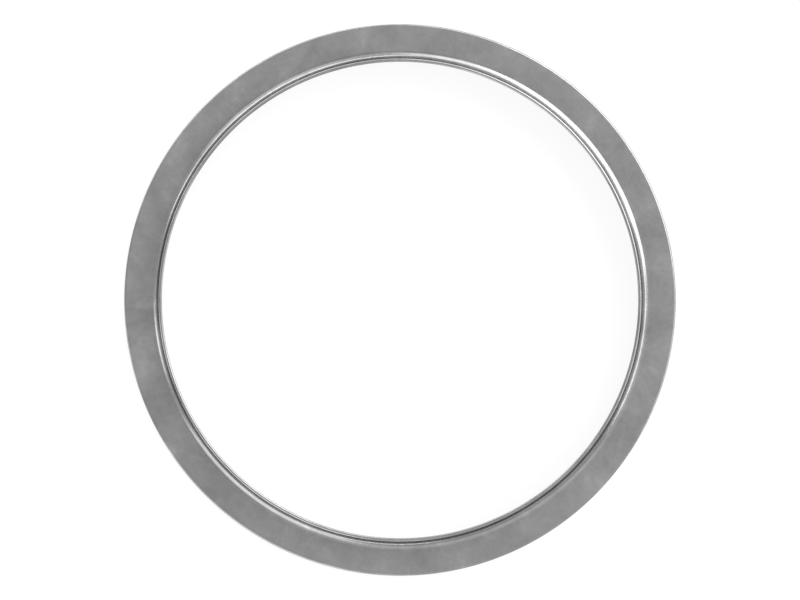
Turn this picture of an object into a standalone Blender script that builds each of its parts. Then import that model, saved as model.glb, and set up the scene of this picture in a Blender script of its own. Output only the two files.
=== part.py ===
"""A one-piece crankshaft seal ring, pressed from steel sheet.

The ring lies flat on its flange, with its axis on Z and its underside at Z = 0. Round the bore the
sheet bends up through a quarter turn into a collar. Both free edges of the sheet, at the collar's
rim and round the outside of the flange, are fully rounded. All sizes are in metres.
"""

import math

import bpy

# Driving sizes
BORE_DIAMETER = 0.095
FLANGE_REACH = 0.0075  # from the bore's wall out to the edge of the flange
RING_HEIGHT = 0.007  # from the flange's underside up to the top of the collar's rim
SHEET_THICKNESS = 0.00072
BEND_RADIUS = 0.00175  # on the hollow side, between the flange's face and the collar

# Steps in which each curve is drawn
BEND_STEPS = 8
EDGE_STEPS = 8
TURN_STEPS = 120
MERGE_DISTANCE = 0.00001

# Bare pressed steel
STEEL_COLOUR = (0.28, 0.28, 0.28, 1.0)
STEEL_ROUGHNESS = 0.4
STEEL_METALLIC = 1.0


def arc(centre, radius, start, end, steps):
    """Points (r, z) of an arc about centre, from the angle start to end in degrees."""
    points = []
    for step in range(steps + 1):
        angle = math.radians(start + (end - start) * step / steps)
        r = centre[0] + radius * math.cos(angle)
        z = centre[1] + radius * math.sin(angle)
        points.append((r, z))
    return points


def ring_section():
    """The closed section of the sheet: over the rim, down its outer side and back up the bore."""
    bore = BORE_DIAMETER / 2
    flange = bore + FLANGE_REACH
    half_sheet = SHEET_THICKNESS / 2
    bend = (bore + SHEET_THICKNESS + BEND_RADIUS, SHEET_THICKNESS + BEND_RADIUS)
    rim = (bore + half_sheet, RING_HEIGHT - half_sheet)
    flange_edge = (flange - half_sheet, half_sheet)

    rim_round = arc(rim, half_sheet, 180, 0, EDGE_STEPS)
    bend_hollow = arc(bend, BEND_RADIUS, 180, 270, BEND_STEPS)
    edge_round = arc(flange_edge, half_sheet, 90, -90, EDGE_STEPS)
    bend_back = arc(bend, BEND_RADIUS + SHEET_THICKNESS, 270, 180, BEND_STEPS)
    return rim_round + bend_hollow + edge_round + bend_back


def steel_material():
    material = bpy.data.materials.new("pressed_steel")
    material.use_nodes = True
    shader = material.node_tree.nodes["Principled BSDF"]
    shader.inputs["Base Color"].default_value = STEEL_COLOUR
    shader.inputs["Roughness"].default_value = STEEL_ROUGHNESS
    shader.inputs["Metallic"].default_value = STEEL_METALLIC
    return material


def add_seal_ring():
    """Turns the section once round Z, where it closes on itself into one solid ring."""
    section = ring_section()
    count = len(section)
    points = [(r, 0.0, z) for r, z in section]
    edges = [(index, (index + 1) % count) for index in range(count)]
    mesh = bpy.data.meshes.new("seal_ring")
    mesh.from_pydata(points, edges, [])
    mesh.materials.append(steel_material())

    ring = bpy.data.objects.new("seal_ring", mesh)
    bpy.context.scene.collection.objects.link(ring)
    turn = ring.modifiers.new("turn", "SCREW")
    turn.axis = "Z"
    turn.angle = math.tau
    turn.steps = TURN_STEPS
    turn.render_steps = TURN_STEPS
    turn.use_merge_vertices = True
    turn.merge_threshold = MERGE_DISTANCE
    turn.use_smooth_shade = True


for old in list(bpy.data.objects):
    bpy.data.objects.remove(old)
add_seal_ring()
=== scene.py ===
import math

import bpy
import numpy as np
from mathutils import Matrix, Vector


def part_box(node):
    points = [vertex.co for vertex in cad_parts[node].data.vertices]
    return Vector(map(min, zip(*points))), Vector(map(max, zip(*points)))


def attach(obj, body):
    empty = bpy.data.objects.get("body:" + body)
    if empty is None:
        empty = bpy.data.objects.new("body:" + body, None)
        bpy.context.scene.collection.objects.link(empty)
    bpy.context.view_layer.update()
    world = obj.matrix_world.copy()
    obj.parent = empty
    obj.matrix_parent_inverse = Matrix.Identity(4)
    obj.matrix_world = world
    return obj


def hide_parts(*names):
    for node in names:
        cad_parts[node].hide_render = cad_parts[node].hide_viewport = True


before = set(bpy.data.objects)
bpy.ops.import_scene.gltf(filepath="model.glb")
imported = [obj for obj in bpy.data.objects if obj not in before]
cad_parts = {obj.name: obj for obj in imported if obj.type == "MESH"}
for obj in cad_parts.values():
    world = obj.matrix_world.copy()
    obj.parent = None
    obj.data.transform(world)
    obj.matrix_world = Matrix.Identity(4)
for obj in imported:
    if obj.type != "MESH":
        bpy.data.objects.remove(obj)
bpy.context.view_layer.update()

# The seal ring: one piece of sheet steel, blanked, drawn up round its bore into a collar, and
# tumbled until the cut edges are fully round. It is bare metal. The flat flange keeps the rolled
# sheet's cloudy satin skin, and the press has burnished the bend, the rim and the outer edge.
highest_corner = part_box("seal_ring")[1]
OUTER_RADIUS = highest_corner.x
HEIGHT = highest_corner.z
BORE_RADIUS = 0.0475
SHEET = 0.00072
BEND_RADIUS = 0.00175

TURN_STEPS = 720
RIM_STEPS = 24
COLLAR_STEPS = 4
BEND_STEPS = 30
FLANGE_STEPS = 24
EDGE_STEPS = 20
UNDERSIDE_STEPS = 8
BEND_BACK_STEPS = 12

STEEL_GREY = 0.28
GLANCING_SHINE = 0.88
CLOUDS_PER_METRE = 95
CLOUD_DEPTH = 0.5
SMUDGES_PER_METRE = 190
SMUDGE_FROM, SMUDGE_FULL = 0.52, 0.72
SMUDGE_DEPTH = 0.16
GRAINS_PER_METRE = 2600
GRAIN_HEIGHT = 0.000004

SATIN = 0.42
POLISHED = 0.20
BEND_FADE = 0.00036
EDGE_FADE = 0.0001
DULL_FROM, RUBBED_FROM = 0.3, 0.7
DULLED, RUBBED = 1.08, 0.92


def arc(centre, radius, start, end, steps):
    """Points (r, z) at even angles from start to end, in degrees, at one radius from the centre."""
    angle = np.radians(np.linspace(start, end, steps + 1))
    return np.column_stack([centre[0] + radius * np.cos(angle), centre[1] + radius * np.sin(angle)])


def run(start, end, steps):
    """Points (r, z) at even steps on the straight line between two points, without its ends."""
    share = np.linspace(0.0, 1.0, steps + 1)[1:-1, None]
    return np.asarray(start) * (1 - share) + np.asarray(end) * share


def ring_section():
    """The sheet's closed section: over the rim, down the collar and out to the edge, and back.

    Both free edges are half circles of the sheet's own thickness. The collar turns into the flange
    on two quarter circles about one centre, a sheet's thickness apart.
    """
    half = SHEET / 2
    bend = (BORE_RADIUS + SHEET + BEND_RADIUS, SHEET + BEND_RADIUS)
    rim = (BORE_RADIUS + half, HEIGHT - half)
    edge = (OUTER_RADIUS - half, half)
    rim_round = arc(rim, half, 180, 0, RIM_STEPS)
    bend_hollow = arc(bend, BEND_RADIUS, 180, 270, BEND_STEPS)
    edge_round = arc(edge, half, 90, -90, EDGE_STEPS)
    bend_back = arc(bend, BEND_RADIUS + SHEET, 270, 180, BEND_BACK_STEPS)
    return np.concatenate([
        rim_round,
        run(rim_round[-1], bend_hollow[0], COLLAR_STEPS),
        bend_hollow,
        run(bend_hollow[-1], edge_round[0], FLANGE_STEPS),
        edge_round,
        run(edge_round[-1], bend_back[0], UNDERSIDE_STEPS),
        bend_back,
        run(bend_back[-1], rim_round[0], COLLAR_STEPS),
    ])


def polish_of(radius):
    """How far the press has burnished the sheet, by its distance from the axis.

    It is 0 on the flat and 1 on the bend, the collar and the outer edge. It rises as half a cosine
    wave over BEND_FADE from the flat's inner end, and over EDGE_FADE from its outer end.
    """
    flat_from = BORE_RADIUS + SHEET + BEND_RADIUS
    flat_to = OUTER_RADIUS - SHEET / 2
    into_bend = np.clip((flat_from - radius) / BEND_FADE, 0.0, 1.0)
    into_edge = np.clip((radius - flat_to) / EDGE_FADE, 0.0, 1.0)
    return 0.5 - 0.5 * np.cos(np.pi * np.maximum(into_bend, into_edge))


def ring_mesh(name):
    """The section turned once round Z: x = r cos(turn), y = r sin(turn), z as it is."""
    section = ring_section()
    count = len(section)
    turn = np.linspace(0.0, math.tau, TURN_STEPS, endpoint=False)[:, None]
    radius, height = section[:, 0], section[:, 1]
    x = radius * np.cos(turn)
    y = radius * np.sin(turn)
    z = height + np.zeros_like(turn)
    points = np.stack([x, y, z], axis=-1).reshape(-1, 3)

    at_turn, at_point = np.meshgrid(np.arange(TURN_STEPS), np.arange(count), indexing="ij")
    next_turn = (at_turn + 1) % TURN_STEPS
    next_point = (at_point + 1) % count
    corners = [
        at_turn * count + at_point,
        at_turn * count + next_point,
        next_turn * count + next_point,
        next_turn * count + at_point,
    ]
    faces = np.stack(corners, axis=-1).reshape(-1, 4)
    mesh = bpy.data.meshes.new(name)
    mesh.from_pydata(points.tolist(), [], faces.tolist())
    mesh.shade_smooth()

    polish = np.tile(polish_of(radius), TURN_STEPS).astype(np.float32)
    mesh.attributes.new("polish", "FLOAT", "POINT").data.foreach_set("value", polish)
    return mesh


def pressed_steel():
    """Bare steel, clouded and smudged in its grey, satin on the flat and polished where it was bent.

    The roughness falls from SATIN to POLISHED with the polish, and is a little lower in the smudges,
    where handling has rubbed it, than between them. The bump is a fine even grain.
    """
    material = bpy.data.materials.new("pressed_steel")
    material.use_nodes = True
    tree = material.node_tree
    shader = tree.nodes["Principled BSDF"]
    shader.inputs["Metallic"].default_value = 1.0
    shader.inputs["Specular Tint"].default_value = (GLANCING_SHINE, GLANCING_SHINE, GLANCING_SHINE, 1.0)
    place = tree.nodes.new("ShaderNodeTexCoord")

    def noise(scale, detail, roughness, distortion=0.0):
        node = tree.nodes.new("ShaderNodeTexNoise")
        node.inputs["Scale"].default_value = scale
        node.inputs["Detail"].default_value = detail
        node.inputs["Roughness"].default_value = roughness
        node.inputs["Distortion"].default_value = distortion
        tree.links.new(place.outputs["Object"], node.inputs["Vector"])
        return node.outputs["Fac"]

    def ranged(value, span, result, smooth=False):
        node = tree.nodes.new("ShaderNodeMapRange")
        node.interpolation_type = "SMOOTHSTEP" if smooth else "LINEAR"
        node.inputs["From Min"].default_value, node.inputs["From Max"].default_value = span
        node.inputs["To Min"].default_value, node.inputs["To Max"].default_value = result
        tree.links.new(value, node.inputs["Value"])
        return node.outputs["Result"]

    def combined(operation, first, second):
        node = tree.nodes.new("ShaderNodeMath")
        node.operation = operation
        tree.links.new(first, node.inputs[0])
        tree.links.new(second, node.inputs[1])
        return node.outputs["Value"]

    clouds = noise(CLOUDS_PER_METRE, detail=6, roughness=0.78, distortion=0.25)
    smudges = noise(SMUDGES_PER_METRE, detail=5, roughness=0.7, distortion=0.6)
    darkest, lightest = STEEL_GREY * (1 - CLOUD_DEPTH), STEEL_GREY * (1 + CLOUD_DEPTH)
    cloud_grey = ranged(clouds, (0, 1), (darkest, lightest))
    added = STEEL_GREY * SMUDGE_DEPTH
    smudge_grey = ranged(smudges, (SMUDGE_FROM, SMUDGE_FULL), (0, added), smooth=True)
    tree.links.new(combined("ADD", cloud_grey, smudge_grey), shader.inputs["Base Color"])

    polish = tree.nodes.new("ShaderNodeAttribute")
    polish.attribute_name = "polish"
    finish = ranged(polish.outputs["Fac"], (0, 1), (SATIN, POLISHED))
    rubbing = ranged(smudges, (DULL_FROM, RUBBED_FROM), (DULLED, RUBBED))
    tree.links.new(combined("MULTIPLY", finish, rubbing), shader.inputs["Roughness"])

    grain = noise(GRAINS_PER_METRE, detail=2, roughness=0.5)
    bump = tree.nodes.new("ShaderNodeBump")
    bump.inputs["Distance"].default_value = GRAIN_HEIGHT
    tree.links.new(grain, bump.inputs["Height"])
    tree.links.new(bump.outputs["Normal"], shader.inputs["Normal"])
    return material


ring = bpy.data.objects.new("pressed_ring", ring_mesh("pressed_ring"))
ring.data.materials.append(pressed_steel())
bpy.context.scene.collection.objects.link(ring)
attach(ring, "root")
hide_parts("seal_ring")

# The table that the ring lies on: white paint under a clear varnish, wide enough to run past every
# view. The camera and reflections see it mostly as an even white. The rest is lit paint, which keeps
# the shadow. A low view starts partly below its top, so an all white floor lies under it.
TABLE_SIZE = 6.0
TABLE_DROP = 0.00002
FLOOR_DROP = 0.1
PAINT_WHITE = 0.8
TABLE_EVEN_WHITE = 0.85
FLOOR_EVEN_WHITE = 1.0
VARNISH_IOR = 1.3
VARNISH_ROUGHNESS = 0.1


def varnished_white(name, even_white):
    """Lit paint, mixed by even_white with a glow of strength 1 for camera, glossy and clear rays.

    The varnish is added on top. It mirrors next to nothing straight down, and the soft boxes at a
    low angle, by Fresnel's law.
    """
    material = bpy.data.materials.new(name)
    material.use_nodes = True
    tree = material.node_tree
    paint = tree.nodes["Principled BSDF"]
    paint.inputs["Base Color"].default_value = (PAINT_WHITE, PAINT_WHITE, PAINT_WHITE, 1.0)
    paint.inputs["Roughness"].default_value = 1.0
    paint.inputs["Specular IOR Level"].default_value = 0.0
    path = tree.nodes.new("ShaderNodeLightPath")
    seen = path.outputs["Is Camera Ray"]
    for ray in ("Is Glossy Ray", "Is Transmission Ray"):
        either = tree.nodes.new("ShaderNodeMath")
        either.operation = "MAXIMUM"
        tree.links.new(seen, either.inputs[0])
        tree.links.new(path.outputs[ray], either.inputs[1])
        seen = either.outputs["Value"]
    share = tree.nodes.new("ShaderNodeMath")
    share.operation = "MULTIPLY"
    share.inputs[1].default_value = even_white
    tree.links.new(seen, share.inputs[0])
    glow = tree.nodes.new("ShaderNodeEmission")
    blend = tree.nodes.new("ShaderNodeMixShader")
    tree.links.new(share.outputs["Value"], blend.inputs["Fac"])
    tree.links.new(paint.outputs["BSDF"], blend.inputs[1])
    tree.links.new(glow.outputs["Emission"], blend.inputs[2])
    mirrored = tree.nodes.new("ShaderNodeFresnel")
    mirrored.inputs["IOR"].default_value = VARNISH_IOR
    varnish = tree.nodes.new("ShaderNodeBsdfAnisotropic")
    varnish.inputs["Roughness"].default_value = VARNISH_ROUGHNESS
    tree.links.new(mirrored.outputs["Fac"], varnish.inputs["Color"])
    coated = tree.nodes.new("ShaderNodeAddShader")
    tree.links.new(blend.outputs["Shader"], coated.inputs[0])
    tree.links.new(varnish.outputs["BSDF"], coated.inputs[1])
    tree.links.new(coated.outputs["Shader"], tree.nodes["Material Output"].inputs["Surface"])
    material.cycles.emission_sampling = "NONE"
    return material


def white_sheet(name, drop, even_white):
    """A level square round the axis, drop below the ring's underside."""
    bpy.ops.mesh.primitive_plane_add(size=TABLE_SIZE, location=(0.0, 0.0, -drop))
    sheet = bpy.context.object
    sheet.name = name
    sheet.data.materials.append(varnished_white(name, even_white))


white_sheet("white_table", TABLE_DROP, TABLE_EVEN_WHITE)
white_sheet("white_floor", FLOOR_DROP, FLOOR_EVEN_WHITE)

# The light: a pale grey room, with soft boxes a metre from the ring. Each one gives the bright
# line or glow on one stretch of the bend, the rim and the outer edge, or lifts the flat a little.
ROOM_GREY = 0.78
BOX_DISTANCE = 1.0


def soft_box(name, turn, rise, width, height, brightness):
    """A flat square-cornered panel that faces the ring.

    It stands turn degrees round Z from X and rise degrees above the table, and looks width by height
    degrees large from the ring. Its power is pi times its area times its brightness, where 1 is white.
    """
    panel = bpy.data.lights.new(name, "AREA")
    panel.shape = "RECTANGLE"
    panel.size = 2 * BOX_DISTANCE * math.tan(math.radians(width / 2))
    panel.size_y = 2 * BOX_DISTANCE * math.tan(math.radians(height / 2))
    panel.energy = math.pi * panel.size * panel.size_y * brightness
    across, up = math.radians(turn), math.radians(rise)
    outward = Vector((math.cos(up) * math.cos(across), math.cos(up) * math.sin(across), math.sin(up)))
    lamp = bpy.data.objects.new(name, panel)
    lamp.location = BOX_DISTANCE * outward
    lamp.rotation_euler = (-outward).to_track_quat("-Z", "Y").to_euler()
    lamp.visible_camera = False
    bpy.context.scene.collection.objects.link(lamp)


soft_box("key", turn=38, rise=28, width=48, height=52, brightness=3.7)
soft_box("key_back", turn=75, rise=24, width=24, height=36, brightness=2.35)
soft_box("key_side", turn=352, rise=23, width=40, height=21, brightness=2.5)
soft_box("side_glow", turn=355, rise=47, width=34, height=18, brightness=0.35)
soft_box("back_strip", turn=125, rise=8, width=74, height=12, brightness=2.3)
soft_box("back_glow", turn=120, rise=24, width=40, height=46, brightness=0.8)
soft_box("left_card", turn=190, rise=18, width=14, height=20, brightness=2.3)
soft_box("front_fill", turn=235, rise=20, width=44, height=40, brightness=1.65)
soft_box("front_strip", turn=265, rise=3, width=26, height=4, brightness=2.7)
soft_box("front_glow", turn=284, rise=49, width=50, height=38, brightness=0.42)
soft_box("top_glow", turn=340, rise=66, width=28, height=54, brightness=0.23)

scene = bpy.context.scene
scene.world = bpy.data.worlds.new("grey_room")
scene.world.use_nodes = True
room = scene.world.node_tree.nodes["Background"]
room.inputs["Color"].default_value = (ROOM_GREY, ROOM_GREY, ROOM_GREY, 1.0)

# The camera looks straight down, at the photograph's framing: the ring's outside is 551.5 of the
# picture's 800 pixels across.
PICTURE_WIDTH = 800
RING_WIDTH = 551.5
CAMERA_HEIGHT = 1.0
camera = bpy.data.objects.new("camera", bpy.data.cameras.new("camera"))
camera.data.type = "ORTHO"
camera.data.ortho_scale = 2 * OUTER_RADIUS * PICTURE_WIDTH / RING_WIDTH
camera.location = (0.0, 0.0, CAMERA_HEIGHT)
scene.collection.objects.link(camera)
scene.camera = camera
scene.view_settings.view_transform = "Standard"
